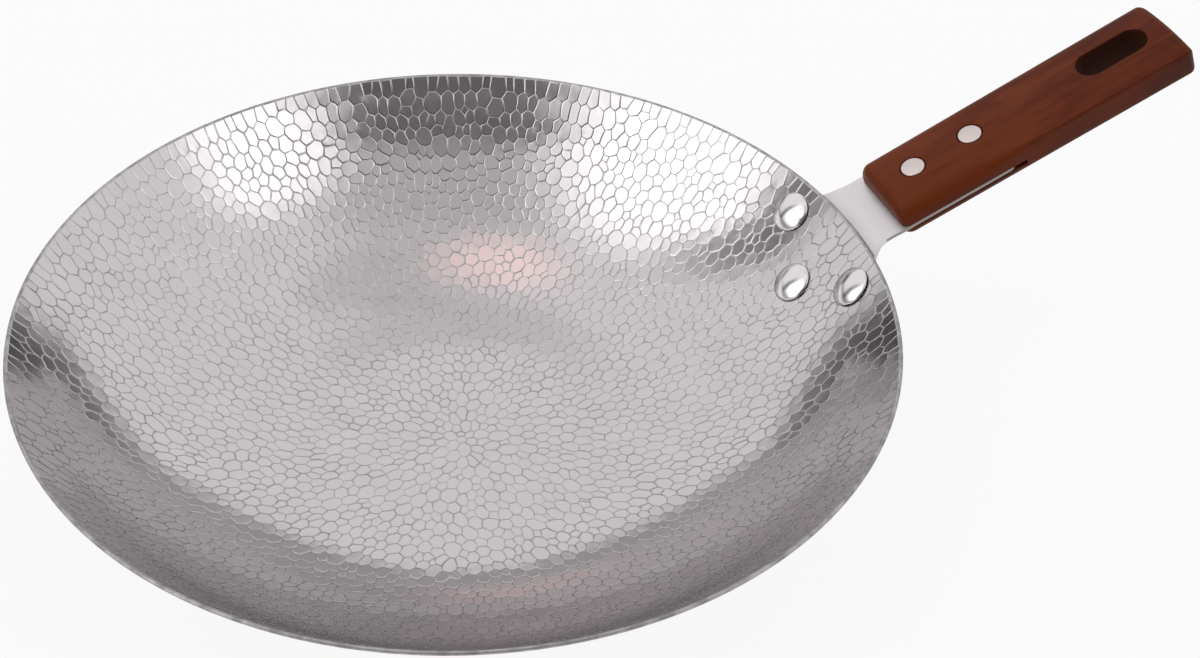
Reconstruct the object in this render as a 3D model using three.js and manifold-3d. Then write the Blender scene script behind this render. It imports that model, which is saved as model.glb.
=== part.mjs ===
// A shallow steel wok with a riveted bracket and a pinned wooden handle.
// Millimetres, +Z up, origin at the centre of the base's underside, handle along +X.
import * as THREE from 'three';
import { mergeVertices } from 'three/addons/utils/BufferGeometryUtils.js';
import Module from 'manifold-3d';

const wasm = await Module();
wasm.setup();

// Bowl: one pressed sheet with a flat base, a curved wall that ends straight, and a rounded rim
const MOUTH_DIAMETER = 317.8;
const BOWL_DEPTH = 62;
const BASE_DIAMETER = 84;
const WALL_STRAIGHT = 23;
const SHEET = 1.5;

// Rivets through the wall: two abreast near the rim and one below them, places along the inside wall
const UPPER_RIVETS_BELOW_RIM = 12.6;
const RIVET_ROW_STEP = 18.9;
const RIVET_SPREAD = 50.6;
const RIVET_SHANK_DIAMETER = 6;
const RIVET_HEAD_DIAMETER = 16;
const RIVET_HEAD_HEIGHT = 2.7;
const RIVET_HEAD_EDGE = 0.6;
const RIVET_TAIL_DIAMETER = 11;
const RIVET_TAIL_HEIGHT = 1.8;

// Bracket: one bent plate with a pad on the bowl, flares, a neck and a tang
const PLATE = 1.5;
const PAD_MARGIN = 9;
const FLARE_RADIUS = 15;
const BEND_RADIUS = 8;
const PLATE_OVER_RIM = 1.1;
const HANDLE_SLOPE = THREE.MathUtils.degToRad(22.5);
const NECK_WIDTH = 35.4;
const NECK_LENGTH = 4.9;
const TANG_LENGTH = 51;
const TANG_END_WIDTH = 36.4;
const TANG_CORNER_RADIUS = 4;

// Wooden handle: tapered block with a crowned top, sawn from the front for the tang
const WOOD_LENGTH = 129.7;
const WOOD_FRONT_WIDTH = 36.4;
const WOOD_END_WIDTH = 38.6;
const WOOD_ABOVE_TANG = 10;
const WOOD_BELOW_TANG = 4.4;
const WOOD_CROWN = 2.5;
const WOOD_TOP_RADIUS = 7;
const WOOD_EDGE_RADIUS = 3;
const WOOD_FRONT_CORNER_RADIUS = 5;
const WOOD_END_CORNER_RADIUS = 3.4;
const KERF_SPARE = 3;
const SLOT_LENGTH = 30;
const SLOT_WIDTH = 12.6;
const SLOT_END_TO_WOOD_END = 9.5;

// Handle pins: a core pressed into a sleeve, with flush heads on both faces of the wood
const FRONT_PIN_FROM_WOOD_FRONT = 15.9;
const REAR_PIN_TO_TANG_END = 9.6;
const PIN_HEAD_DIAMETER = 9.2;
const PIN_HEAD_THICKNESS = 1.5;
const PIN_HEAD_RECESS = 0.1;
const PIN_SLEEVE_DIAMETER = 6;
const PIN_CORE_DIAMETER = 3.4;

// Fits
const CLEARANCE = 0.3;

// Facets
const BOWL_SEGMENTS = 80;
const WALL_STEPS = 14;
const RIM_STEPS = 4;
const ROUND_SEGMENTS = 20;
const OUTLINE_STEPS = 7;
const PLATE_COLUMNS = 12;

const DEGREES_90 = Math.PI / 2;

// Up to the rim the wall is an arc that stands on the flat base's edge, and then a straight tangent to it
const baseRadius = BASE_DIAMETER / 2;
const mouthRun = MOUTH_DIAMETER / 2 - baseRadius;
const rimSlope = 2 * Math.atan2(BOWL_DEPTH, mouthRun + WALL_STRAIGHT);
const arcRadius = (mouthRun - WALL_STRAIGHT * Math.cos(rimSlope)) / Math.sin(rimSlope);
const arcLength = arcRadius * rimSlope;
const arcCentre = new THREE.Vector2(baseRadius, SHEET + arcRadius);

function wallSlope(belowRim) {
  return rimSlope - Math.max(belowRim - WALL_STRAIGHT, 0) / arcRadius;
}

// A point of the wall's section, at a distance down the inside face and a depth out of that face
function wallPoint(belowRim, depth) {
  const slope = wallSlope(belowRim);
  const up = new THREE.Vector2(Math.cos(slope), Math.sin(slope));
  const out = new THREE.Vector2(Math.sin(slope), -Math.cos(slope));
  return arcCentre.clone()
    .addScaledVector(out, arcRadius + depth)
    .addScaledVector(up, Math.max(WALL_STRAIGHT - belowRim, 0));
}

// A closed body with merged corners, ready to be cut
function bodyOf(geometry) {
  const bare = new THREE.BufferGeometry();
  bare.setAttribute('position', geometry.getAttribute('position'));
  bare.setIndex(geometry.getIndex());
  const merged = mergeVertices(bare);
  const corners = merged.getIndex().array;
  const triangles = [];
  for (let i = 0; i < corners.length; i += 3) {
    const [a, b, c] = corners.slice(i, i + 3);
    if (a !== b && b !== c && c !== a) triangles.push(a, b, c);
  }
  return new wasm.Manifold(new wasm.Mesh({
    numProp: 3,
    vertProperties: merged.getAttribute('position').array,
    triVerts: Uint32Array.from(triangles),
  }));
}

// The geometry that is left when the cutters are taken from a body
function cut(body, cutters) {
  const rest = cutters.reduce((left, cutter) => left.subtract(bodyOf(cutter)), body);
  const { vertProperties, triVerts } = rest.getMesh();
  const geometry = new THREE.BufferGeometry();
  geometry.setAttribute('position', new THREE.BufferAttribute(vertProperties, 3));
  geometry.setIndex(new THREE.BufferAttribute(triVerts, 1));
  geometry.computeVertexNormals();
  return geometry;
}

// A turned body about +Z, from an outline of (radius, height) points that runs up its outside
function turned(outline, segments) {
  const geometry = new THREE.LatheGeometry(outline, segments);
  geometry.rotateX(DEGREES_90);
  return cut(bodyOf(geometry), []);
}

// A round bar about +Z between two heights
function bar(diameter, low, high) {
  const geometry = new THREE.CylinderGeometry(diameter / 2, diameter / 2, high - low, ROUND_SEGMENTS);
  geometry.rotateX(DEGREES_90);
  geometry.translate(0, 0, (low + high) / 2);
  return geometry;
}

function piece(name, geometry, color, roughness, metalness) {
  const mesh = new THREE.Mesh(geometry, new THREE.MeshStandardMaterial({ color, roughness, metalness }));
  mesh.name = name;
  return mesh;
}

// Rivet stations: places on the inside wall, with +Z into the bowl along the wall's normal
const lowerRivetBelowRim = UPPER_RIVETS_BELOW_RIM + RIVET_ROW_STEP;

function rivetStation(name, belowRim, sideways) {
  const inside = wallPoint(belowRim, 0);
  const azimuth = Math.asin(sideways / inside.x);
  const station = new THREE.Object3D();
  station.name = name;
  station.position.set(inside.x * Math.cos(azimuth), sideways, inside.y);
  station.rotation.set(0, -wallSlope(belowRim), azimuth, 'ZYX');
  station.updateMatrix();
  return station;
}

const rivetStations = [
  rivetStation('bowl_rivet_left', UPPER_RIVETS_BELOW_RIM, RIVET_SPREAD / 2),
  rivetStation('bowl_rivet_right', UPPER_RIVETS_BELOW_RIM, -RIVET_SPREAD / 2),
  rivetStation('bowl_rivet_lower', lowerRivetBelowRim, 0),
];

// The rivets clamp the sheet and the plate; a flat head stands off a hollow wall by the hollow's depth
const headRadius = RIVET_HEAD_DIAMETER / 2;
const wallHollow = arcRadius - Math.sqrt(arcRadius ** 2 - headRadius ** 2);
const headSeat = CLEARANCE + wallHollow;
const tailSeat = -(SHEET + CLEARANCE + PLATE + CLEARANCE);
const rivetHole = bar(RIVET_SHANK_DIAMETER + 2 * CLEARANCE, 2 * tailSeat, 2 * headSeat);
const rivetHoles = rivetStations.map((station) => rivetHole.clone().applyMatrix4(station.matrix));

// Bowl
function bowl() {
  const stations = [0];
  for (let i = 0; i <= WALL_STEPS; i++) stations.push(WALL_STRAIGHT + arcLength * i / WALL_STEPS);
  const inside = stations.map((belowRim) => wallPoint(belowRim, 0));
  const outside = stations.map((belowRim) => wallPoint(belowRim, SHEET)).reverse();
  const rimMiddle = wallPoint(0, SHEET / 2);
  const rim = [];
  for (let i = 1; i < RIM_STEPS; i++) {
    const turn = rimSlope - DEGREES_90 + Math.PI * i / RIM_STEPS;
    const reach = new THREE.Vector2(Math.cos(turn), Math.sin(turn));
    rim.push(reach.multiplyScalar(SHEET / 2).add(rimMiddle));
  }
  const axis = [new THREE.Vector2(0, 0), new THREE.Vector2(0, SHEET)];
  const outline = [axis[0], ...outside, ...rim, ...inside, axis[1]];
  const body = bodyOf(turned(outline, BOWL_SEGMENTS));
  return piece('wok_bowl', cut(body, rivetHoles), 0xc9c6c4, 0.28, 1);
}

// Rivets: a low domed head with a short upright edge, a shank and a formed tail
function rivets() {
  const domeRise = RIVET_HEAD_HEIGHT - RIVET_HEAD_EDGE;
  const domeRadius = (headRadius ** 2 + domeRise ** 2) / (2 * domeRise);
  const domeCentre = headSeat + RIVET_HEAD_HEIGHT - domeRadius;
  const dome = new THREE.EllipseCurve(
    0, domeCentre, domeRadius, domeRadius, Math.acos(headRadius / domeRadius), DEGREES_90);
  const tailRadius = RIVET_TAIL_DIAMETER / 2;
  const tail = new THREE.EllipseCurve(0, tailSeat, tailRadius, RIVET_TAIL_HEIGHT, -DEGREES_90, 0);
  const outline = [
    ...tail.getPoints(4),
    new THREE.Vector2(RIVET_SHANK_DIAMETER / 2, tailSeat),
    new THREE.Vector2(RIVET_SHANK_DIAMETER / 2, headSeat),
    new THREE.Vector2(headRadius, headSeat),
    ...dome.getPoints(6),
  ];
  return rivetStations.map((station) => {
    const rivet = piece(station.name, turned(outline, ROUND_SEGMENTS), 0xd6d2d0, 0.16, 1);
    rivet.applyMatrix4(station.matrix);
    return rivet;
  });
}

// The bracket's middle line in the XZ plane: up the wall, round the bend, then straight along the handle.
// Distances along it are counted from the start of the bend.
const padDepth = SHEET + CLEARANCE + PLATE / 2;
const bendTurn = rimSlope - HANDLE_SLOPE;
const bendLength = BEND_RADIUS * bendTurn;
const bendTangent = BEND_RADIUS * Math.tan(bendTurn / 2);
const padFromRim = CLEARANCE + PLATE / 2;
const bendCorner = -(PLATE_OVER_RIM + padFromRim * Math.cos(bendTurn)) / Math.sin(bendTurn);
const bendBelowRim = bendCorner + bendTangent;
const bendCentre = wallPoint(bendBelowRim, padDepth + BEND_RADIUS);

function plateSection(along, depth) {
  if (along <= 0) return wallPoint(bendBelowRim - along, padDepth + depth);
  const slope = rimSlope - Math.min(along, bendLength) / BEND_RADIUS;
  const up = new THREE.Vector2(-Math.sin(slope), Math.cos(slope));
  const forward = new THREE.Vector2(Math.cos(slope), Math.sin(slope));
  return bendCentre.clone()
    .addScaledVector(up, BEND_RADIUS - depth)
    .addScaledVector(forward, Math.max(along - bendLength, 0));
}

// The bracket's outline as half widths along the middle line
const upperRivetsAlong = bendBelowRim - UPPER_RIVETS_BELOW_RIM;
const lowerRivetAlong = bendBelowRim - lowerRivetBelowRim;
const rivetSide = RIVET_SPREAD / 2;
const neckSide = NECK_WIDTH / 2;
const flareSide = neckSide + FLARE_RADIUS;
const padToFlare = PAD_MARGIN + FLARE_RADIUS;
const flareRise = Math.acos((flareSide - rivetSide) / padToFlare);
const flareEnd = upperRivetsAlong + padToFlare * Math.sin(flareRise);
const woodFront = flareEnd + NECK_LENGTH;
const tangEnd = woodFront + TANG_LENGTH;
const woodTaper = (WOOD_END_WIDTH - WOOD_FRONT_WIDTH) / 2 / WOOD_LENGTH;

function outlineRows() {
  const rows = [];
  const addRows = (from, to, row) => {
    for (let i = 0; i <= OUTLINE_STEPS; i++) rows.push(row(from + (to - from) * i / OUTLINE_STEPS));
  };
  const padTurn = Math.atan2(upperRivetsAlong - lowerRivetAlong, rivetSide);
  const padTip = padTurn / OUTLINE_STEPS;
  addRows(padTip, padTurn, (turn) => ({
    along: lowerRivetAlong - PAD_MARGIN * Math.cos(turn),
    side: PAD_MARGIN * Math.sin(turn),
  }));
  addRows(lowerRivetAlong, upperRivetsAlong, (middle) => ({
    along: middle - PAD_MARGIN * Math.cos(padTurn),
    side: (middle - lowerRivetAlong) / Math.tan(padTurn) + PAD_MARGIN * Math.sin(padTurn),
  }));
  addRows(padTurn, DEGREES_90 + flareRise, (turn) => ({
    along: upperRivetsAlong - PAD_MARGIN * Math.cos(turn),
    side: rivetSide + PAD_MARGIN * Math.sin(turn),
  }));
  addRows(flareRise, 0, (turn) => ({
    along: flareEnd - FLARE_RADIUS * Math.sin(turn),
    side: flareSide - FLARE_RADIUS * Math.cos(turn),
  }));
  rows.push({ along: woodFront, side: WOOD_FRONT_WIDTH / 2 - CLEARANCE });
  const tangSide = TANG_END_WIDTH / 2;
  addRows(0, DEGREES_90, (turn) => ({
    along: tangEnd - TANG_CORNER_RADIUS * (1 - Math.sin(turn)),
    side: tangSide - TANG_CORNER_RADIUS * (1 - Math.cos(turn)),
  }));
  return rows;
}

// Handle frame: at the front of the wood on the plate's middle plane, +X along the handle
const handle = new THREE.Group();
const handleOrigin = plateSection(woodFront, 0);
handle.position.set(handleOrigin.x, 0, handleOrigin.y);
handle.rotation.y = -HANDLE_SLOPE;
handle.updateMatrix();
const pinPlaces = [
  { name: 'handle_pin_front', along: FRONT_PIN_FROM_WOOD_FRONT },
  { name: 'handle_pin_rear', along: TANG_LENGTH - REAR_PIN_TO_TANG_END },
];

// Bracket: a flat blank with rows along it, pressed round the bowl and bent to the handle
function bracket() {
  const rows = outlineRows();
  const blank = new THREE.BoxGeometry(1, 2, PLATE, rows.length - 1, PLATE_COLUMNS, 1);
  const places = blank.getAttribute('position');
  const bentPlace = new THREE.Vector3();
  for (let i = 0; i < places.count; i++) {
    bentPlace.fromBufferAttribute(places, i);
    const { along, side } = rows[Math.round((bentPlace.x + 0.5) * (rows.length - 1))];
    const sideways = side * bentPlace.y;
    const section = plateSection(along, -bentPlace.z);
    const hug = 1 - THREE.MathUtils.smoothstep(along, 0, woodFront);
    const setBack = section.x - Math.sqrt(section.x ** 2 - sideways ** 2);
    places.setXYZ(i, section.x - hug * setBack, sideways, section.y);
  }
  const pinHole = bar(PIN_SLEEVE_DIAMETER + 2 * CLEARANCE, -PLATE, PLATE);
  const pinHoles = pinPlaces.map(({ along }) => {
    return pinHole.clone().translate(along, 0, 0).applyMatrix4(handle.matrix);
  });
  return piece('handle_bracket', cut(bodyOf(blank), [...rivetHoles, ...pinHoles]), 0xc4bfbd, 0.4, 1);
}

// Wood: a rounded tapered block with a crowned top, a kerf open at the front and both sides, pin holes
// and a slot
const pinTop = WOOD_ABOVE_TANG - PIN_HEAD_RECESS;
const pinBottom = -WOOD_BELOW_TANG + PIN_HEAD_RECESS;
const topHeadSeat = pinTop - PIN_HEAD_THICKNESS - CLEARANCE;
const bottomHeadSeat = pinBottom + PIN_HEAD_THICKNESS + CLEARANCE;

function woodOutline() {
  const lean = Math.atan(woodTaper);
  const frontRadius = WOOD_FRONT_CORNER_RADIUS;
  const endRadius = WOOD_END_CORNER_RADIUS;
  const frontCorner = WOOD_FRONT_WIDTH / 2 + woodTaper * frontRadius - frontRadius / Math.cos(lean);
  const endCorner = WOOD_END_WIDTH / 2 - woodTaper * endRadius - endRadius / Math.cos(lean);
  const shape = new THREE.Shape();
  shape.absarc(WOOD_LENGTH - endRadius, endCorner, endRadius, 0, DEGREES_90 + lean);
  shape.absarc(frontRadius, frontCorner, frontRadius, DEGREES_90 + lean, Math.PI);
  shape.absarc(frontRadius, -frontCorner, frontRadius, Math.PI, 3 * DEGREES_90 - lean);
  shape.absarc(WOOD_LENGTH - endRadius, -endCorner, endRadius, -DEGREES_90 - lean, 0);
  return shape;
}

// The wood's section under a crowned top with round edges, run along the handle and tapered with it
function woodSection() {
  const side = WOOD_END_WIDTH / 2;
  const crownRadius = side ** 2 / (2 * WOOD_CROWN) + WOOD_CROWN / 2;
  const crownCentre = WOOD_ABOVE_TANG - crownRadius;
  const edgeSide = side - WOOD_TOP_RADIUS;
  const edgeTurn = Math.acos(edgeSide / (crownRadius - WOOD_TOP_RADIUS));
  const edgeHeight = crownCentre + (crownRadius - WOOD_TOP_RADIUS) * Math.sin(edgeTurn);
  const shape = new THREE.Shape();
  shape.moveTo(-side, -2 * WOOD_BELOW_TANG);
  shape.lineTo(side, -2 * WOOD_BELOW_TANG);
  shape.absarc(edgeSide, edgeHeight, WOOD_TOP_RADIUS, 0, edgeTurn);
  shape.absarc(0, crownCentre, crownRadius, edgeTurn, Math.PI - edgeTurn);
  shape.absarc(-edgeSide, edgeHeight, WOOD_TOP_RADIUS, Math.PI - edgeTurn, Math.PI);
  const options = { depth: 2 * WOOD_LENGTH, bevelEnabled: false, curveSegments: OUTLINE_STEPS };
  const geometry = new THREE.ExtrudeGeometry(shape, options);
  const places = geometry.getAttribute('position');
  for (let i = 0; i < places.count; i++) {
    const along = places.getZ(i) - WOOD_LENGTH / 2;
    const narrowing = woodTaper * (WOOD_LENGTH - along) / side;
    places.setXYZ(i, along, places.getX(i) * (1 - narrowing), places.getY(i));
  }
  return geometry;
}

function hangingSlot() {
  const radius = SLOT_WIDTH / 2;
  const high = WOOD_LENGTH - SLOT_END_TO_WOOD_END - radius;
  const low = WOOD_LENGTH - SLOT_END_TO_WOOD_END - SLOT_LENGTH + radius;
  const shape = new THREE.Shape();
  shape.absarc(high, 0, radius, -DEGREES_90, DEGREES_90);
  shape.absarc(low, 0, radius, DEGREES_90, 3 * DEGREES_90);
  const depth = 2 * (WOOD_ABOVE_TANG + WOOD_BELOW_TANG);
  const options = { depth, bevelEnabled: false, curveSegments: OUTLINE_STEPS };
  return new THREE.ExtrudeGeometry(shape, options).translate(0, 0, -depth / 2);
}

function woodHandle() {
  const block = new THREE.ExtrudeGeometry(woodOutline(), {
    depth: WOOD_ABOVE_TANG + WOOD_BELOW_TANG - 2 * WOOD_EDGE_RADIUS,
    bevelThickness: WOOD_EDGE_RADIUS,
    bevelSize: WOOD_EDGE_RADIUS,
    bevelOffset: -WOOD_EDGE_RADIUS,
    bevelSegments: 4,
    curveSegments: OUTLINE_STEPS,
  });
  block.translate(0, 0, WOOD_EDGE_RADIUS - WOOD_BELOW_TANG);
  const body = bodyOf(block).intersect(bodyOf(woodSection()));
  const kerfDepth = TANG_LENGTH + KERF_SPARE;
  const kerf = new THREE.BoxGeometry(2 * kerfDepth, 2 * WOOD_END_WIDTH, PLATE + 2 * CLEARANCE);
  const headHole = PIN_HEAD_DIAMETER + 2 * CLEARANCE;
  const pinCuts = pinPlaces.flatMap(({ along }) => [
    bar(PIN_SLEEVE_DIAMETER + 2 * CLEARANCE, -2 * WOOD_BELOW_TANG, 2 * WOOD_ABOVE_TANG),
    bar(headHole, topHeadSeat, 2 * WOOD_ABOVE_TANG),
    bar(headHole, -2 * WOOD_BELOW_TANG, bottomHeadSeat),
  ].map((tool) => tool.translate(along, 0, 0)));
  return piece('wood_handle', cut(body, [kerf, hangingSlot(), ...pinCuts]), 0x6e3520, 0.35, 0);
}

// Pins: the core's head shows on top, the sleeve's head underneath
function pins() {
  const headRadiusOfPin = PIN_HEAD_DIAMETER / 2;
  const coreRadius = PIN_CORE_DIAMETER / 2;
  const sleeveRadius = PIN_SLEEVE_DIAMETER / 2;
  const topHead = pinTop - PIN_HEAD_THICKNESS;
  const bottomHead = pinBottom + PIN_HEAD_THICKNESS;
  const core = [
    [0, bottomHead + CLEARANCE], [coreRadius, bottomHead + CLEARANCE], [coreRadius, topHead],
    [headRadiusOfPin, topHead], [headRadiusOfPin, pinTop], [0, pinTop],
  ];
  const sleeve = [
    [0, pinBottom], [headRadiusOfPin, pinBottom], [headRadiusOfPin, bottomHead],
    [sleeveRadius, bottomHead], [sleeveRadius, topHead - CLEARANCE],
    [coreRadius + CLEARANCE, topHead - CLEARANCE], [coreRadius + CLEARANCE, bottomHead], [0, bottomHead],
  ];
  const half = (name, along, outline) => {
    const points = outline.map(([radius, height]) => new THREE.Vector2(radius, height));
    const mesh = piece(name, turned(points, ROUND_SEGMENTS), 0xcdc3bf, 0.5, 1);
    mesh.position.x = along;
    return mesh;
  };
  return pinPlaces.flatMap(({ name, along }) => [
    half(`${name}_core`, along, core),
    half(`${name}_sleeve`, along, sleeve),
  ]);
}

handle.add(woodHandle(), ...pins());
const wok = new THREE.Group();
wok.add(bowl(), ...rivets(), bracket(), handle);

export default wok;
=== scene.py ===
import math
import random

import bmesh
import bpy
import numpy as np
from mathutils import Matrix, Quaternion, Vector
from mathutils.geometry import delaunay_2d_cdt


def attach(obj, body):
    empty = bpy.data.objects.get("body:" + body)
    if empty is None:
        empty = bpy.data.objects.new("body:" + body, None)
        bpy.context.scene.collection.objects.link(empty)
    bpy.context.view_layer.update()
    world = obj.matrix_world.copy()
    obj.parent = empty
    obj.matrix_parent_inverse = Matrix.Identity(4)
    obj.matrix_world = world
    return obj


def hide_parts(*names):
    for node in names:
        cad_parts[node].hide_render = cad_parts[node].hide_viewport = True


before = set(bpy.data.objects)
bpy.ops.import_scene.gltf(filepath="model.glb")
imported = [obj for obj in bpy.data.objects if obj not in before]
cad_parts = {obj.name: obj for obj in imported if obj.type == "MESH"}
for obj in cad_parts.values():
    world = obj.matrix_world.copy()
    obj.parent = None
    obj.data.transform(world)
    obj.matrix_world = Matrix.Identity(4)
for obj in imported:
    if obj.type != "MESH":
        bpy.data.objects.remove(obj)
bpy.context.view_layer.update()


# The bowl is one sheet of bright steel, spun to a flat base and a curved wall that runs straight up to a
# rounded rim. A roll has pressed its inside into small pads, longer towards the rim. The soft grooves
# between them and the rim have dulled, and the grooves' colour is darkened as painted shade. The outside
# keeps the fine rings of the spinning lathe.
mm = 0.001
base_radius = 42 * mm
mouth_radius = 158.9 * mm
bowl_depth = 62 * mm
wall_straight = 23 * mm
sheet = 1.5 * mm
mouth_run = mouth_radius - base_radius
wall_slope = 2 * math.atan2(bowl_depth, mouth_run + wall_straight)
arc_radius = (mouth_run - wall_straight * math.cos(wall_slope)) / math.sin(wall_slope)
arc_length = arc_radius * wall_slope
rim_run = base_radius + arc_length + wall_straight
pad_width, pad_width_gain = 4.1, 0.55
pad_length, pad_length_gain = 5.3, 0.65
pad_stray = 0.22
pad_hollow = 0.012 * mm
groove_depth = 0.13 * mm
groove_unevenness = 0.03 * mm
short_side = 0.75 * mm
narrow_pad = 2.2 * mm
long_side = 3.25 * mm
least_bend, most_bend = 0.1 * mm, 0.3 * mm


def bowl_section(run, lift):
    """Radius and height at a run from the middle of the floor, lifted off the inside face."""
    slope = min(max(run - base_radius, 0), arc_length) / arc_radius
    straight = max(run - base_radius - arc_length, 0)
    radius = min(run, base_radius) + (arc_radius - lift) * math.sin(slope) + straight * math.cos(slope)
    height = sheet + arc_radius - (arc_radius - lift) * math.cos(slope) + straight * math.sin(slope)
    return radius, height


def pad_size(run):
    """Width round the bowl and length towards the rim of the pads at a run."""
    share = run / rim_run
    return (pad_width + pad_width_gain * share) * mm, (pad_length + pad_length_gain * share) * mm


# A flat chart of the inside on which the long pads come out round, so that they can be spaced evenly
chart_start = 0.2 * mm
chart_margin = 12 * mm
chart_runs = np.linspace(chart_start, rim_run + chart_margin, 1200)
chart_stretch = np.array(
    [pad_size(run)[0] / pad_size(run)[1] / bowl_section(run, 0)[0] for run in chart_runs])
chart_steps = np.diff(chart_runs) * (chart_stretch[:-1] + chart_stretch[1:]) / 2
chart_logs = np.concatenate([[0], np.cumsum(chart_steps)])


def on_chart(run, turn):
    """The place on the chart of a run from the middle and a turn about the bowl's axis."""
    reach = math.exp(np.interp(run, chart_runs, chart_logs))
    return Vector((reach * math.cos(turn), reach * math.sin(turn)))


dice = random.Random(11)
centre_pad_run = 0.4 * mm
first_ring_run = 4.4 * mm
least_ring_gap = 0.7
pad_middles = [on_chart(centre_pad_run, 0)]
run = first_ring_run
last_run = rim_run - pad_size(rim_run)[1] / 2
while run < last_run - least_ring_gap * pad_size(run)[1]:
    width, length = pad_size(run)
    count = round(math.tau * bowl_section(run, 0)[0] / width)
    start = dice.uniform(0, math.tau)
    for i in range(count):
        turn = start + math.tau * (i + dice.uniform(-0.5, 0.5)) / count
        pad_middles.append(on_chart(run + length * dice.uniform(-0.5, 0.5), turn))
    run += length
rim_count = round(math.tau * bowl_section(last_run, 0)[0] / pad_size(last_run)[0])
# The pads of the last ring are mirrored past the rim, so that the rim runs straight between the two
rim_middles = []
for i in range(rim_count):
    turn = math.tau * i / rim_count
    rim_middles.append(on_chart(last_run, turn))
    rim_middles.append(on_chart(2 * rim_run - last_run, turn))


def cells_round(middles):
    """A flat skin with one cell round each middle: the cells' corners are the triangles' centres."""
    corners, _, triangles, *_ = delaunay_2d_cdt(middles, [], [], 0, 1e-7)
    skin = bmesh.new()
    hubs = [skin.verts.new((*corner, 0)) for corner in corners]
    for triangle in triangles:
        skin.faces.new([hubs[i] for i in triangle])
    bmesh.ops.bisect_edges(skin, edges=skin.edges[:], cuts=1)
    hubs = [v for v in skin.verts if len(v.link_edges) > 2]
    bmesh.ops.poke(skin, faces=skin.faces[:])
    bmesh.ops.dissolve_verts(skin, verts=hubs)
    bmesh.ops.dissolve_verts(skin, verts=[v for v in skin.verts if len(v.link_edges) == 2])
    return skin


rim_reach = on_chart(rim_run, 0).length
fixed_reach = (on_chart(last_run, 0).length + on_chart(last_run - pad_size(last_run)[1], 0).length) / 2
bowl = cells_round(pad_middles + rim_middles)
relaxed = []
for face in bowl.faces:
    stray = pad_stray * math.sqrt(face.calc_area())
    shift = Vector((dice.uniform(-stray, stray), dice.uniform(-stray, stray)))
    middle = face.calc_center_median().xy + shift
    if middle.length < fixed_reach:
        relaxed.append(middle)
bowl.free()
bowl = cells_round(relaxed + rim_middles)
outer = [face for face in bowl.faces if face.calc_center_median().length > rim_reach]
bmesh.ops.delete(bowl, geom=outer, context="FACES")
for vert in bowl.verts:
    reach, turn = vert.co.length, math.atan2(vert.co.y, vert.co.x)
    if vert.is_boundary:
        radius, height = bowl_section(rim_run, 0)
    else:
        run = float(np.interp(math.log(max(reach, 1)), chart_logs, chart_runs))
        radius, height = bowl_section(
            run, -groove_depth + dice.uniform(-groove_unevenness, groove_unevenness))
    vert.co = (radius * math.cos(turn), radius * math.sin(turn), height)


def off_rim(part):
    """Whether an edge or a pad stands clear of the rim."""
    return not any(vert.is_boundary for vert in part.verts)


# Very short sides and slivers of pads close up, and long sides are bent a little
short = [e for e in bowl.edges if e.calc_length() < short_side and off_rim(e)]
bmesh.ops.collapse(bowl, edges=short)
slivers = set()
for face in bowl.faces:
    if 4 * face.calc_area() / face.calc_perimeter() < narrow_pad and off_rim(face):
        slivers.update(face.edges)
bmesh.ops.collapse(bowl, edges=[e for e in bowl.edges if e in slivers])
long_sides = [e for e in bowl.edges if e.calc_length() > long_side and off_rim(e)]
bent = bmesh.ops.bisect_edges(bowl, edges=long_sides, cuts=1)["geom_split"]
bowl.normal_update()
for vert in bent:
    if isinstance(vert, bmesh.types.BMVert):
        ends = [e.other_vert(vert).co for e in vert.link_edges]
        side = (ends[1] - ends[0]).cross(vert.normal).normalized()
        vert.co += dice.choice((-1, 1)) * dice.uniform(least_bend, most_bend) * side

# Each pad rises out of its groove in two steps, in one of four degrees of wear
pads = bowl.faces[:]
# This mask is highest in the groove bottoms and on the rim: there the steel is rougher, and in the grooves
# its colour is darkened as painted shade.
dull_and_shaded = bowl.verts.layers.float.new("dull_and_shaded")
spun = bowl.verts.layers.float.new("spun")
for vert in bowl.verts:
    vert[dull_and_shaded] = 1
wear = [[], [], [], []]
wear_widths = (0.62, 0.85, 1.05, 1.3)
wear_heights = (1, 0.8, 1, 0.92)
groove_steps = ((0.21 * mm, groove_depth, 0.45), (0.26 * mm, 0, 0))
for pad in pads:
    dice.choice(wear).append(pad)
for group, wear_width, wear_height in zip(wear, wear_widths, wear_heights):
    for inset, rise, dullness_and_shade in groove_steps:
        bmesh.ops.inset_individual(
            bowl, faces=group, thickness=inset * wear_width, depth=rise * wear_height,
            use_even_offset=True)
        for pad in group:
            for vert in pad.verts:
                vert[dull_and_shaded] = dullness_and_shade
bmesh.ops.poke(bowl, faces=pads, offset=-pad_hollow)

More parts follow.
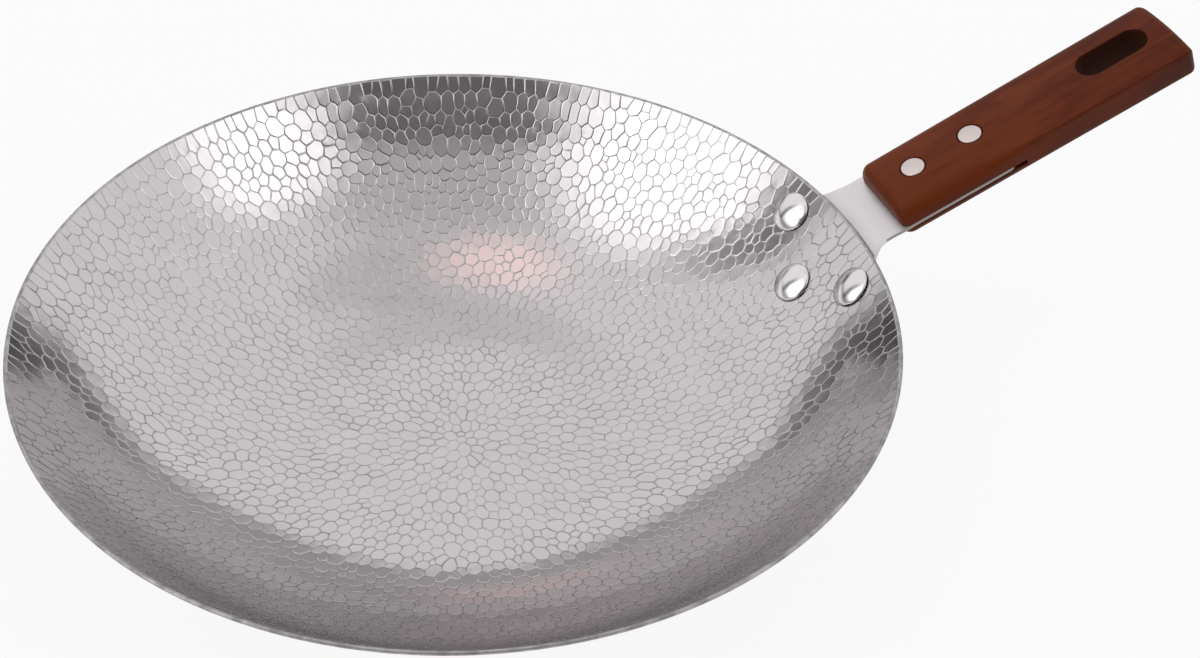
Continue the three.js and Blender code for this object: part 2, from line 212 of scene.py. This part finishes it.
# From the inside's edge the sheet goes on round the rim, down the outside and in to the base's middle
rim_round = sheet / 2
rim_radius, rim_height = bowl_section(rim_run, -rim_round)
rim_steps = 8
rim_dullness = 0.8
wall_steps = 24
outline = []
for i in range(1, rim_steps + 1):
    turn = wall_slope + math.pi / 2 - math.pi * i / rim_steps
    outline.append((rim_radius + rim_round * math.cos(turn), rim_height + rim_round * math.sin(turn)))
outline += [bowl_section(rim_run - wall_straight * share, -sheet) for share in (0.01, 0.33, 0.67, 1)]
for i in range(wall_steps - 1, -1, -1):
    outline.append(bowl_section(base_radius + arc_length * i / wall_steps, -sheet))
outline += [(base_radius * share, 0) for share in (0.75, 0.5, 0.25)]
edge = [e for e in bowl.edges if e.is_boundary]
for i, (radius, height) in enumerate(outline):
    grown = bmesh.ops.extrude_edge_only(bowl, edges=edge)["geom"]
    for vert in grown:
        if isinstance(vert, bmesh.types.BMVert):
            turn = math.atan2(vert.co.y, vert.co.x)
            vert.co = (radius * math.cos(turn), radius * math.sin(turn), height)
            vert[spun] = 1
            vert[dull_and_shaded] = rim_dullness if i < rim_steps else 0
    edge = [e for e in grown if isinstance(e, bmesh.types.BMEdge) and e.is_boundary]
bmesh.ops.edgeloop_fill(bowl, edges=edge)
bmesh.ops.recalc_face_normals(bowl, faces=bowl.faces[:])
for face in bowl.faces:
    face.smooth = True


def finished(name, form):
    """The piece that a bmesh becomes, riding on the wok's one body."""
    mesh = bpy.data.meshes.new(name)
    form.to_mesh(mesh)
    form.free()
    made = bpy.data.objects.new(name, mesh)
    bpy.context.scene.collection.objects.link(made)
    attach(made, "root")
    return made


class Shade:
    """A socket of a material or of the world, for sums that read as plain arithmetic."""

    def __init__(self, tree, socket):
        self.tree = tree
        self.socket = socket

    def node(self, kind, settings, inputs, output=0):
        """A new node of a kind with its settings and its sockets' values or links, as one output."""
        made = self.tree.nodes.new(kind)
        for name, setting in settings.items():
            setattr(made, name, setting)
        for name, value in inputs.items():
            self.into(made, name, value)
        return Shade(self.tree, self.pick(made.outputs, output))

    def pick(self, sockets, name):
        """The socket of that place or name that is in use: a Mix node has one of each name per kind."""
        if isinstance(name, int):
            return sockets[name]
        return next(socket for socket in sockets if socket.name == name and socket.enabled)

    def into(self, made, name, value=None):
        """Feeds a node's socket with a value or a link, or with this socket where none is given."""
        value = self if value is None else value
        socket = self.pick(made.inputs, name)
        if isinstance(value, Shade):
            self.tree.links.new(value.socket, socket)
        else:
            socket.default_value = value

    def sum(self, operation, *values):
        return self.node("ShaderNodeMath", {"operation": operation}, dict(enumerate(values)))

    def __add__(self, other):
        return self.sum("ADD", self, other)

    def __sub__(self, other):
        return self.sum("SUBTRACT", self, other)

    def __rsub__(self, other):
        return self.sum("SUBTRACT", other, self)

    def __mul__(self, other):
        return self.sum("MULTIPLY", self, other)

    __radd__ = __add__
    __rmul__ = __mul__


def new_finish(name):
    """A material, its shader and the piece's own coordinates."""
    material = bpy.data.materials.new(name)
    material.use_nodes = True
    tree = material.node_tree
    place = Shade(tree, tree.nodes.new("ShaderNodeTexCoord").outputs["Object"])
    return material, tree.nodes["Principled BSDF"], place


bowl_steel, shader, place = new_finish("embossed_steel")
shader.inputs["Metallic"].default_value = 1
outside = place.node("ShaderNodeAttribute", {"attribute_name": "spun"}, {}, "Fac")
cloud = place.node("ShaderNodeTexNoise", {}, {"Vector": place, "Scale": 60, "Detail": 4})
grain = place.node("ShaderNodeTexNoise", {}, {"Vector": place, "Scale": 2400, "Detail": 2})
flat = place.node("ShaderNodeVectorMath", {"operation": "MULTIPLY"}, {0: place, 1: (1, 1, 0)})
ring = place.node("ShaderNodeVectorMath", {"operation": "LENGTH"}, {0: flat}, "Value")
lathe = place.node("ShaderNodeTexNoise", {"noise_dimensions": "1D"}, {
    "W": ring, "Scale": 1600, "Detail": 3})
bright_steel = (0.605, 0.575, 0.59, 1)
grey_steel = (0.535, 0.51, 0.522, 1)
groove_shade_grey = (0.15, 0.142, 0.147, 1)
steel = place.node("ShaderNodeMix", {"data_type": "RGBA"}, {
    "Factor": cloud + outside * (1.6 * lathe - cloud), "A": bright_steel, "B": grey_steel}, "Result")
patch = place.node("ShaderNodeMapRange", {}, {
    "Value": place.node("ShaderNodeTexNoise", {}, {"Vector": place, "Scale": 230, "Detail": 2}),
    "From Min": 0.35, "From Max": 0.65})
# In the grooves the steel is mixed towards a dark grey as painted shade and made rougher; the rim is dulled
# and darkened too.
worn_and_shaded = place.node("ShaderNodeAttribute", {"attribute_name": "dull_and_shaded"}, {}, "Fac") * (0.35 + 0.65 * patch)
steel = place.node("ShaderNodeMix", {"data_type": "RGBA"}, {
    "Factor": 0.72 * worn_and_shaded, "A": steel, "B": groove_shade_grey}, "Result")
steel.into(shader, "Base Color")
(0.1 + 0.07 * cloud + 0.25 * worn_and_shaded + outside * (0.08 + 0.3 * lathe)).into(shader, "Roughness")
relief = 0.12 * grain + outside * lathe
relief.node("ShaderNodeBump", {}, {"Height": relief, "Distance": 0.02 * mm}).into(shader, "Normal")
wok_bowl = finished("bowl", bowl)
wok_bowl.data.materials.append(bowl_steel)
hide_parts("wok_bowl")


# The bracket is one stamped plate with a satin face, bent at the rim: its pad hugs the bowl's outside
# under the rivets, and its neck and tang run flat into the handle. Stamping leaves its edges softened,
# and the neck's and tang's sheared sides are painted dark, as painted shade.
edge_soft = 0.3 * mm
neck_start = 166 * mm
bracket = bmesh.new()
bracket.from_mesh(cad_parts["handle_bracket"].data)
bmesh.ops.remove_doubles(bracket, verts=bracket.verts[:], dist=0.002 * mm)
bmesh.ops.dissolve_limit(
    bracket, angle_limit=math.radians(0.3), verts=bracket.verts[:], edges=bracket.edges[:])
corners = [e for e in bracket.edges if e.calc_face_angle(0) > math.radians(40)]
bmesh.ops.bevel(
    bracket, geom=corners, offset=edge_soft, affect="EDGES", segments=3, profile=0.5, material=-1,
    clamp_overlap=True)
# The sideways faces of neck and tang are marked for painted shade.
side_shade = bracket.faces.layers.float.new("side_shade")
for face in bracket.faces:
    face.smooth = True
    faces_sideways = abs(face.normal.y) > 0.75
    if faces_sideways and face.calc_center_median().x > neck_start:
        face[side_shade] = 1
bracket_steel, shader, place = new_finish("bracket_steel")
shader.inputs["Metallic"].default_value = 1
satin_light = (0.71, 0.67, 0.685, 1)
satin_grey = (0.64, 0.61, 0.625, 1)
side_shade_grey = (0.22, 0.19, 0.18, 1)
drawn = place.node("ShaderNodeVectorMath", {"operation": "MULTIPLY"}, {0: place, 1: (0.06, 1, 0.06)})
brush = place.node("ShaderNodeTexNoise", {}, {"Vector": drawn, "Scale": 2200, "Detail": 3})
cloud = place.node("ShaderNodeTexNoise", {}, {"Vector": place, "Scale": 45, "Detail": 3})
steel = place.node("ShaderNodeMix", {"data_type": "RGBA"}, {
    "Factor": 0.6 * cloud + 0.4 * brush, "A": satin_light, "B": satin_grey}, "Result")
# The marked sideways faces of neck and tang are mixed towards a dark grey, which is painted shade.
side_shade_mask = place.node("ShaderNodeAttribute", {"attribute_name": "side_shade"}, {}, "Fac")
steel = place.node("ShaderNodeMix", {"data_type": "RGBA"}, {
    "Factor": 0.8 * side_shade_mask, "A": steel, "B": side_shade_grey}, "Result")
steel.into(shader, "Base Color")
(0.3 + 0.12 * cloud + 0.06 * brush).into(shader, "Roughness")
brush.node("ShaderNodeBump", {}, {"Height": brush, "Distance": 0.004 * mm}).into(shader, "Normal")
plate = finished("bracket", bracket)
plate.data.materials.append(bracket_steel)
plate.modifiers.new("even_light", "WEIGHTED_NORMAL").weight = 100
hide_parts("handle_bracket")


# Three polished steel rivets hold the bracket. Each has a low domed head inside the bowl, a shank
# through sheet and plate, and a tail that was hammered round on the bracket's pad.
def turned(profile, steps):
    """A solid of revolution about Z from its radii and heights, which begin and end on the axis."""
    form = bmesh.new()
    chain = [form.verts.new((radius, 0, height)) for radius, height in profile]
    for low, high in zip(chain, chain[1:]):
        form.edges.new((low, high))
    bmesh.ops.spin(
        form, geom=form.verts[:] + form.edges[:], axis=(0, 0, 1), cent=(0, 0, 0), angle=math.tau,
        steps=steps, use_merge=True)
    bmesh.ops.remove_doubles(form, verts=form.verts[:], dist=0.001 * mm)
    bmesh.ops.recalc_face_normals(form, faces=form.faces[:])
    for face in form.faces:
        face.smooth = True
    return form


clearance = 0.3 * mm
head_radius = 8 * mm
head_seat = clearance + arc_radius - math.sqrt(arc_radius ** 2 - head_radius ** 2)
head_edge = 0.6 * mm
dome_rise = 2.1 * mm
dome_radius = (head_radius ** 2 + dome_rise ** 2) / (2 * dome_rise)
dome_centre = head_seat + head_edge + dome_rise - dome_radius
dome_share = 0.975
shank_radius = 3 * mm
tail_seat = -3.6 * mm
tail_radius = 5.5 * mm
tail_height = 1.8 * mm
rivet_profile = []
for i in range(9):
    turn = math.pi / 2 * (i / 8 - 1)
    rivet_profile.append((tail_radius * math.cos(turn), tail_seat + tail_height * math.sin(turn)))
rivet_profile += [(shank_radius, tail_seat), (shank_radius, head_seat)]
for inwards, upwards in ((0.25, 0), (0.07, 0.08), (0, 0.25), (0, 0.42), (0.07, 0.58)):
    rivet_profile.append((head_radius - inwards * mm, head_seat + upwards * mm))
for i in range(1, 17):
    reach = head_radius * (1 - i / 16) * dome_share
    rivet_profile.append((reach, dome_centre + math.sqrt(dome_radius ** 2 - reach ** 2)))
rivet_steel, shader, place = new_finish("rivet_steel")
shader.inputs["Metallic"].default_value = 1
cloud = place.node("ShaderNodeTexNoise", {}, {"Vector": place, "Scale": 260, "Detail": 3})
scuff = place.node("ShaderNodeTexNoise", {}, {
    "Vector": place, "Scale": 1900, "Detail": 3, "Distortion": 1.5})
steel = place.node("ShaderNodeMix", {"data_type": "RGBA"}, {
    "Factor": cloud, "A": (0.75, 0.73, 0.735, 1), "B": (0.67, 0.65, 0.655, 1)}, "Result")
steel.into(shader, "Base Color")
(0.1 + 0.06 * cloud + 0.05 * scuff).into(shader, "Roughness")
scuff.node("ShaderNodeBump", {}, {"Height": scuff, "Distance": 0.003 * mm}).into(shader, "Normal")
for side, below_rim, across in (("left", 12.6, 25.3), ("right", 12.6, -25.3), ("lower", 31.5, 0)):
    run = rim_run - below_rim * mm
    radius, height = bowl_section(run, 0)
    azimuth = math.asin(across * mm / radius)
    slope = min(run - base_radius, arc_length) / arc_radius
    station = (
        Matrix.Rotation(azimuth, 4, "Z") @ Matrix.Translation((radius, 0, height))
        @ Matrix.Rotation(-slope, 4, "Y"))
    rivet = turned(rivet_profile, 64)
    bmesh.ops.transform(rivet, matrix=station, verts=rivet.verts[:])
    made = finished("rivet_" + side, rivet)
    made.data.set_sharp_from_angle(angle=math.radians(50))
    made.data.materials.append(rivet_steel)
    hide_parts("bowl_rivet_" + side)


# The handle is one block of hardwood, stained red-brown and lacquered. It widens a little to its end,
# its top is crowned and its edges are rounded over, but for the right one, which turns crisp behind the
# tang. A saw kerf from the front takes the tang, and an oblong slot near the end hangs the wok on a hook.
handle_slope = math.radians(22.5)
handle_front = Vector((173.613 * mm, 0, 69.317 * mm))
handle_place = Matrix.Translation(handle_front) @ Matrix.Rotation(-handle_slope, 4, "Y")
wood_length = 129.7 * mm
wood_top = 10 * mm
wood_bottom = -4.4 * mm
crown_radius = 95 * mm
wood_half = 19.3 * mm
front_half = 18.2 * mm
left_round = 7.5 * mm
crisp_round = 1.1 * mm
crisp_start, crisp_run = 25 * mm, 45 * mm
bottom_round = 3 * mm
front_round = 4.2 * mm
end_round = 3 * mm
bottom_ease = 0.4


def half_section(top_round):
    """One half of the block's section at full size, from the crown round to the underside's middle."""
    edge_turn = math.acos((wood_half - top_round) / (crown_radius - top_round))
    shoulder = wood_top - crown_radius + (crown_radius - top_round) * math.sin(edge_turn)
    points = []
    for i in range(11):
        turn = math.pi / 2 + (edge_turn - math.pi / 2) * i / 10
        points.append((
            crown_radius * math.cos(turn), wood_top - crown_radius + crown_radius * math.sin(turn)))
    for i in range(1, 11):
        turn = edge_turn * (1 - i / 10)
        points.append((
            wood_half - top_round + top_round * math.cos(turn), shoulder + top_round * math.sin(turn)))
    for i in range(7):
        turn = -math.pi / 2 * i / 6
        points.append((
            wood_half - bottom_round + bottom_round * math.cos(turn),
            wood_bottom + bottom_round + bottom_round * math.sin(turn)))
    return points + [(points[-1][0] * share, wood_bottom) for share in (0.66, 0.33)]


def wood_section(along):
    """The block's section at a distance from its front, from the crown round by the left side."""
    crisp = min(max((along - crisp_start) / crisp_run, 0), 1)
    right_round = left_round + (crisp_round - left_round) * crisp ** 2 * (3 - 2 * crisp)
    points = half_section(left_round)
    points += [(-across, height) for across, height in reversed(half_section(right_round)[1:])]
    shrink = 0
    if along < front_round:
        shrink = front_round - math.sqrt(front_round ** 2 - (front_round - along) ** 2)
    if along > wood_length - end_round:
        shrink = end_round - math.sqrt(end_round ** 2 - (along - wood_length + end_round) ** 2)
    half = front_half + (wood_half - front_half) * along / wood_length
    narrow = (half - shrink) / wood_half
    section = []
    for across, height in points:
        flatten = 1 - shrink / wood_top if height > 0 else 1 + bottom_ease * shrink / wood_bottom
        section.append((along, across * narrow, height * flatten))
    return section


def lofted(sections):
    """A closed solid through sections of equally many points."""
    form = bmesh.new()
    corner = form.verts.layers.int.new("corner")
    ring = []
    for i, point in enumerate(sections[0]):
        ring.append(form.verts.new(point))
        ring[-1][corner] = i
    edge = [form.edges.new((low, high)) for low, high in zip(ring, ring[1:] + ring[:1])]
    for points in sections[1:]:
        grown = bmesh.ops.extrude_edge_only(form, edges=edge)["geom"]
        for vert in grown:
            if isinstance(vert, bmesh.types.BMVert):
                vert.co = points[vert[corner]]
        edge = [e for e in grown if isinstance(e, bmesh.types.BMEdge) and e.is_boundary]
    bmesh.ops.holes_fill(form, edges=[e for e in form.edges if e.is_boundary])
    bmesh.ops.recalc_face_normals(form, faces=form.faces[:])
    return form


stations = [front_round * (1 - math.cos(math.pi / 2 * i / 8)) for i in range(9)]
stations += [front_round + (wood_length - front_round - end_round) * i / 40 for i in range(1, 40)]
stations += [wood_length - end_round * (1 - math.sin(math.pi / 2 * i / 6)) for i in range(7)]
handle = finished("handle", lofted([wood_section(along) for along in stations]))
slot_round = 6.3 * mm
slot_start, slot_end = 96.5 * mm, 113.9 * mm
pin_places = {"front": 15.9 * mm, "rear": 41.4 * mm}
pin_steps = 48
kerf_depth = 54 * mm
kerf_height = 2.1 * mm
kerf_across = 60 * mm


def slot_outline(lip, height):
    """The oblong slot at a height, wider all round by its lip."""
    points = []
    for centre, start in ((slot_end, -90), (slot_start, 90)):
        for i in range(17):
            turn = math.radians(start + 180 * i / 16)
            reach = slot_round + lip * mm
            points.append((centre + reach * math.cos(turn), reach * math.sin(turn), height * mm))
    return points


slot_lips = (
    (0.4, -8), (0.4, -4.42), (0.13, -4.25), (0, -4), (0, 9.2), (0.06, 9.5), (0.2, 9.7), (0.4, 9.85),
    (0.5, 14))
kerf = bmesh.new()
bmesh.ops.create_cube(kerf, size=1)
bmesh.ops.scale(kerf, vec=(2 * kerf_depth, kerf_across, kerf_height), verts=kerf.verts[:])
cutters = [kerf, lofted([slot_outline(lip, height) for lip, height in slot_lips])]
bore = (
    (0, -8), (5.4, -8), (5.4, -4.43), (5.15, -4.22), (5.05, -3.9), (5.05, -2.5), (3.3, -2.5), (3.3, 8.1),
    (5.05, 8.1), (5.05, 9.4), (5.15, 9.7), (5.45, 10.03), (5.45, 14), (0, 14))
for along in pin_places.values():
    hole = turned([(radius * mm, height * mm) for radius, height in bore], pin_steps)
    bmesh.ops.translate(hole, vec=(along, 0, 0), verts=hole.verts[:])
    cutters.append(hole)
tools = []
for cutter in cutters:
    mesh = bpy.data.meshes.new("cutter")
    cutter.to_mesh(mesh)
    cutter.free()
    tools.append(bpy.data.objects.new("cutter", mesh))
    bpy.context.scene.collection.objects.link(tools[-1])
    cut = handle.modifiers.new("cut", "BOOLEAN")
    cut.object = tools[-1]
    cut.solver = "EXACT"
drilled = bpy.data.meshes.new_from_object(handle.evaluated_get(bpy.context.evaluated_depsgraph_get()))
handle.modifiers.clear()
handle.data = drilled
for tool in tools:
    bpy.data.objects.remove(tool)
# Faces inside the slot are bare wood without lacquer, and their colour is darkened as painted shade of the
# deep slot.
bare_and_shaded = drilled.attributes.new("bare_and_shaded", "FLOAT", "FACE")
for polygon in drilled.polygons:
    polygon.use_smooth = True
    past_slot = min(max(polygon.center.x, slot_start), slot_end) - polygon.center.x
    if math.hypot(past_slot, polygon.center.y) < slot_round + 0.1 * mm:
        bare_and_shaded.data[polygon.index].value = 1
drilled.transform(handle_place)
drilled.set_sharp_from_angle(angle=math.radians(38))
lacquered_wood, shader, place = new_finish("lacquered_wood")
lengthwise = place.node("ShaderNodeMapping", {"vector_type": "TEXTURE"}, {
    "Vector": place, "Location": handle_place.translation, "Rotation": (0, -handle_slope, 0)})


def streaks(stretch, scale, detail):
    """Noise that is drawn out along the grain."""
    drawn_out = place.node("ShaderNodeVectorMath", {"operation": "MULTIPLY"}, {
        0: lengthwise, 1: (stretch, 1, 1)})
    return place.node("ShaderNodeTexNoise", {}, {
        "Vector": drawn_out, "Scale": scale, "Detail": detail, "Distortion": 0.6})


dark_stain = (0.078, 0.0122, 0.0032, 1)
light_stain = (0.138, 0.0255, 0.0055, 1)
pore_brown = (0.035, 0.007, 0.002, 1)
slot_shade_brown = (0.02, 0.006, 0.003, 1)
distance = place.node("ShaderNodeSeparateXYZ", {}, {"Vector": lengthwise}, "X")
figure = streaks(0.35, 75, 3)
growth = streaks(0.05, 420, 4)
pores = place.node("ShaderNodeMapRange", {}, {
    "Value": streaks(0.04, 1900, 2), "From Min": 0.6, "From Max": 0.72})
# Besides following the figure, the tone grows darker towards the handle's end.
tone = place.node("ShaderNodeMapRange", {"interpolation_type": "SMOOTHSTEP"}, {
    "Value": 0.65 * figure + 0.35 * growth - 1.9 * distance, "From Min": 0.22, "From Max": 0.54})
stain = place.node("ShaderNodeMix", {"data_type": "RGBA"}, {
    "Factor": tone, "A": dark_stain, "B": light_stain}, "Result")
stain = place.node("ShaderNodeMix", {"data_type": "RGBA"}, {
    "Factor": 0.45 * pores, "A": stain, "B": pore_brown}, "Result")
# Inside the slot the wood is rougher and unlacquered, and its colour is mixed towards a near-black brown as
# painted shade.
unlacquered_and_shaded = place.node("ShaderNodeAttribute", {"attribute_name": "bare_and_shaded"}, {}, "Fac")
stain = place.node("ShaderNodeMix", {"data_type": "RGBA"}, {
    "Factor": 0.75 * unlacquered_and_shaded, "A": stain, "B": slot_shade_brown}, "Result")
stain.into(shader, "Base Color")
(0.4 + 0.1 * growth + 0.3 * unlacquered_and_shaded).into(shader, "Roughness")
(0.06 - 0.06 * unlacquered_and_shaded).into(shader, "Coat Weight")
shader.inputs["Specular IOR Level"].default_value = 0.08
shader.inputs["Coat Roughness"].default_value = 0.14
pores.node("ShaderNodeBump", {"invert": True}, {
    "Height": pores + 0.3 * growth, "Strength": 0.5, "Distance": 0.03 * mm}).into(shader, "Normal")
drilled.materials.append(lacquered_wood)
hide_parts("wood_handle")


# Two pins clamp the wood on the tang. Each is a core that is pressed into a sleeve from the other face,
# and both have flat matt steel heads, let in flush with the wood.
pin_steel, shader, place = new_finish("pin_steel")
shader.inputs["Metallic"].default_value = 1
speck = place.node("ShaderNodeTexNoise", {}, {"Vector": place, "Scale": 1500, "Detail": 3})
steel = place.node("ShaderNodeMix", {"data_type": "RGBA"}, {
    "Factor": speck, "A": (0.74, 0.66, 0.64, 1), "B": (0.62, 0.55, 0.535, 1)}, "Result")
steel.into(shader, "Base Color")
(0.4 + 0.2 * speck).into(shader, "Roughness")
speck.node("ShaderNodeBump", {}, {"Height": speck, "Distance": 0.02 * mm}).into(shader, "Normal")
core_profile = (
    (0, -2.5), (1.7, -2.5), (1.7, 8.4), (4.6, 8.4), (4.6, 9.65), (4.5, 9.82), (4.3, 9.9), (0, 9.9))
sleeve_profile = (
    (0, -4.3), (4.3, -4.3), (4.5, -4.22), (4.6, -4.05), (4.6, -2.8), (3, -2.8), (3, 8.1), (2, 8.1),
    (2, -2.8), (0, -2.8))
for name, along in pin_places.items():
    for part, profile in (("core", core_profile), ("sleeve", sleeve_profile)):
        pin = turned([(radius * mm, height * mm) for radius, height in profile], pin_steps)
        bmesh.ops.transform(
            pin, matrix=handle_place @ Matrix.Translation((along, 0, 0)), verts=pin.verts[:])
        made = finished("pin_" + name + "_" + part, pin)
        made.data.set_sharp_from_angle(angle=math.radians(40))
        made.data.materials.append(pin_steel)
        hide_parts("handle_pin_" + name + "_" + part)


# The wok stands on a plain white floor, which keeps its shadow and lets the view from below through.
# The studio's soft light comes from all round, brighter and darker in places, and the steel mirrors it.
# The camera looks down into the bowl, with the handle away to the right.
floor_half = 6
floor_gap = 0.2 * mm
floor_mesh = bmesh.new()
bmesh.ops.create_grid(floor_mesh, x_segments=1, y_segments=1, size=floor_half)
mesh = bpy.data.meshes.new("floor")
floor_mesh.to_mesh(mesh)
floor_mesh.free()
floor = bpy.data.objects.new("floor", mesh)
bpy.context.scene.collection.objects.link(floor)
floor.location.z = -floor_gap
floor_finish, shader, place = new_finish("floor")
tree = floor_finish.node_tree
shader.inputs["Base Color"].default_value = (0.7, 0.7, 0.7, 1)
shader.inputs["Roughness"].default_value = 0.9
shader.inputs["Specular IOR Level"].default_value = 0.1
path = tree.nodes.new("ShaderNodeLightPath")
shown = Shade(tree, path.outputs["Is Camera Ray"])
for kind in ("Is Glossy Ray", "Is Transmission Ray"):
    shown = shown.sum("MAXIMUM", shown, Shade(tree, path.outputs[kind]))
white = shown.node("ShaderNodeEmission", {}, {"Color": (1, 1, 1, 1), "Strength": 1})
paper = shown.node("ShaderNodeMixShader", {}, {
    0: 0.9 * shown, 1: Shade(tree, shader.outputs[0]), 2: white})
below = shown.node("ShaderNodeNewGeometry", {}, {}, "Backfacing")
clear = shown.node("ShaderNodeBsdfTransparent", {}, {})
paper = shown.node("ShaderNodeMixShader", {}, {0: below, 1: paper, 2: clear})
paper.into(tree.nodes["Material Output"], "Surface")
mesh.materials.append(floor_finish)

world = bpy.data.worlds.new("studio")
bpy.context.scene.world = world
world.use_nodes = True
tree = world.node_tree
way = Shade(tree, tree.nodes.new("ShaderNodeTexCoord").outputs["Generated"])
camera_azimuth = math.radians(-108.96)


def lobe(azimuth, elevation, inner, outer):
    """A round area of the sky: 1 within an angle of its middle, 0 past the outer angle."""
    turn, rise = camera_azimuth + math.radians(azimuth), math.radians(elevation)
    axis = (math.cos(turn) * math.cos(rise), math.sin(turn) * math.cos(rise), math.sin(rise))
    facing = way.node("ShaderNodeVectorMath", {"operation": "DOT_PRODUCT"}, {0: way, 1: axis}, "Value")
    return way.node("ShaderNodeMapRange", {"interpolation_type": "SMOOTHSTEP"}, {
        "Value": facing, "From Min": math.cos(math.radians(outer)),
        "From Max": math.cos(math.radians(inner))})


def ramp(value, start, end):
    """A rise from 0 to 1 between the sines of two angles."""
    return way.node("ShaderNodeMapRange", {"interpolation_type": "SMOOTHSTEP"}, {
        "Value": value, "From Min": math.sin(math.radians(start)), "From Max": math.sin(math.radians(end))})


def off_plane(azimuth):
    """How far a direction lies to either side of the upright plane through an azimuth."""
    turn = camera_azimuth + math.radians(azimuth + 90)
    off = way.node("ShaderNodeVectorMath", {"operation": "DOT_PRODUCT"}, {
        0: way, 1: (math.cos(turn), math.sin(turn), 0)}, "Value")
    return off.sum("ABSOLUTE", off)


# Brighter and darker areas of the room, by azimuth from the camera's side and by elevation
height = way.node("ShaderNodeSeparateXYZ", {}, {"Vector": way}, "Z")
low_sky = ramp(height, 0, 14)
table = lobe(180, -25, 45, 49)
table_edge = table - lobe(180, -25, 36, 44)
dim_behind = lobe(3, 62, 10, 37)
dim_overhead = lobe(140, 76, 0, 16)
dim_ahead = lobe(180, 62, 0, 14)
far_left, far_right = lobe(-145, 4, 6, 15), lobe(147, 2, 6, 16)
left_window, right_window = lobe(-70, 39, 9, 37), lobe(60, 41, 0, 22)
seam = (1 - ramp(off_plane(-104), 2, 9)) * lobe(-104, 22, 5, 45)
doorway_side = off_plane(1) + 2.6 * (height - 0.766)
doorway = (1 - ramp(doorway_side, 17, 20.5)) * (1 - ramp(height, 47, 63)) * lobe(3, 40, 35, 45)
glow = lobe(-135, 82, 0, 13)
glow_tint = (1, 0.8, 0.76, 1)
level = (0.06 + 0.94 * low_sky) * (1 - table) + (0.54 + 0.09 * low_sky) * table
level = level * (1 - 0.36 * table_edge)
level = level * (1 - 0.33 * dim_behind) * (1 - 0.26 * dim_overhead)
level = level + 1.1 * left_window + 1.05 * right_window
level = level * (1 - 0.82 * doorway) * (1 - 0.2 * dim_ahead) * (1 - 0.82 * seam)
level = level * (1 - 0.8 * far_left) * (1 - 0.75 * far_right) + 0.46 * glow
background = tree.nodes["Background"]
tint = way.node("ShaderNodeMix", {"data_type": "RGBA"}, {
    "Factor": glow, "A": (1, 1, 1, 1), "B": glow_tint}, "Result")
tint.into(background, "Color")
level.into(background, "Strength")

camera = bpy.data.objects.new("camera", bpy.data.cameras.new("camera"))
bpy.context.scene.collection.objects.link(camera)
camera.location = (-0.18182, -0.52916, 0.52555)
camera_aim = Vector((0.04494, -0.02459, 0.06303))
camera_roll = Quaternion((0, 0, 1), math.radians(2.4956))
camera.rotation_mode = "QUATERNION"
camera.rotation_quaternion = (camera_aim - camera.location).to_track_quat("-Z", "Y") @ camera_roll
camera.data.lens = 60
camera.data.sensor_width = 36
bpy.context.scene.camera = camera
bpy.context.scene.view_settings.view_transform = "Standard"
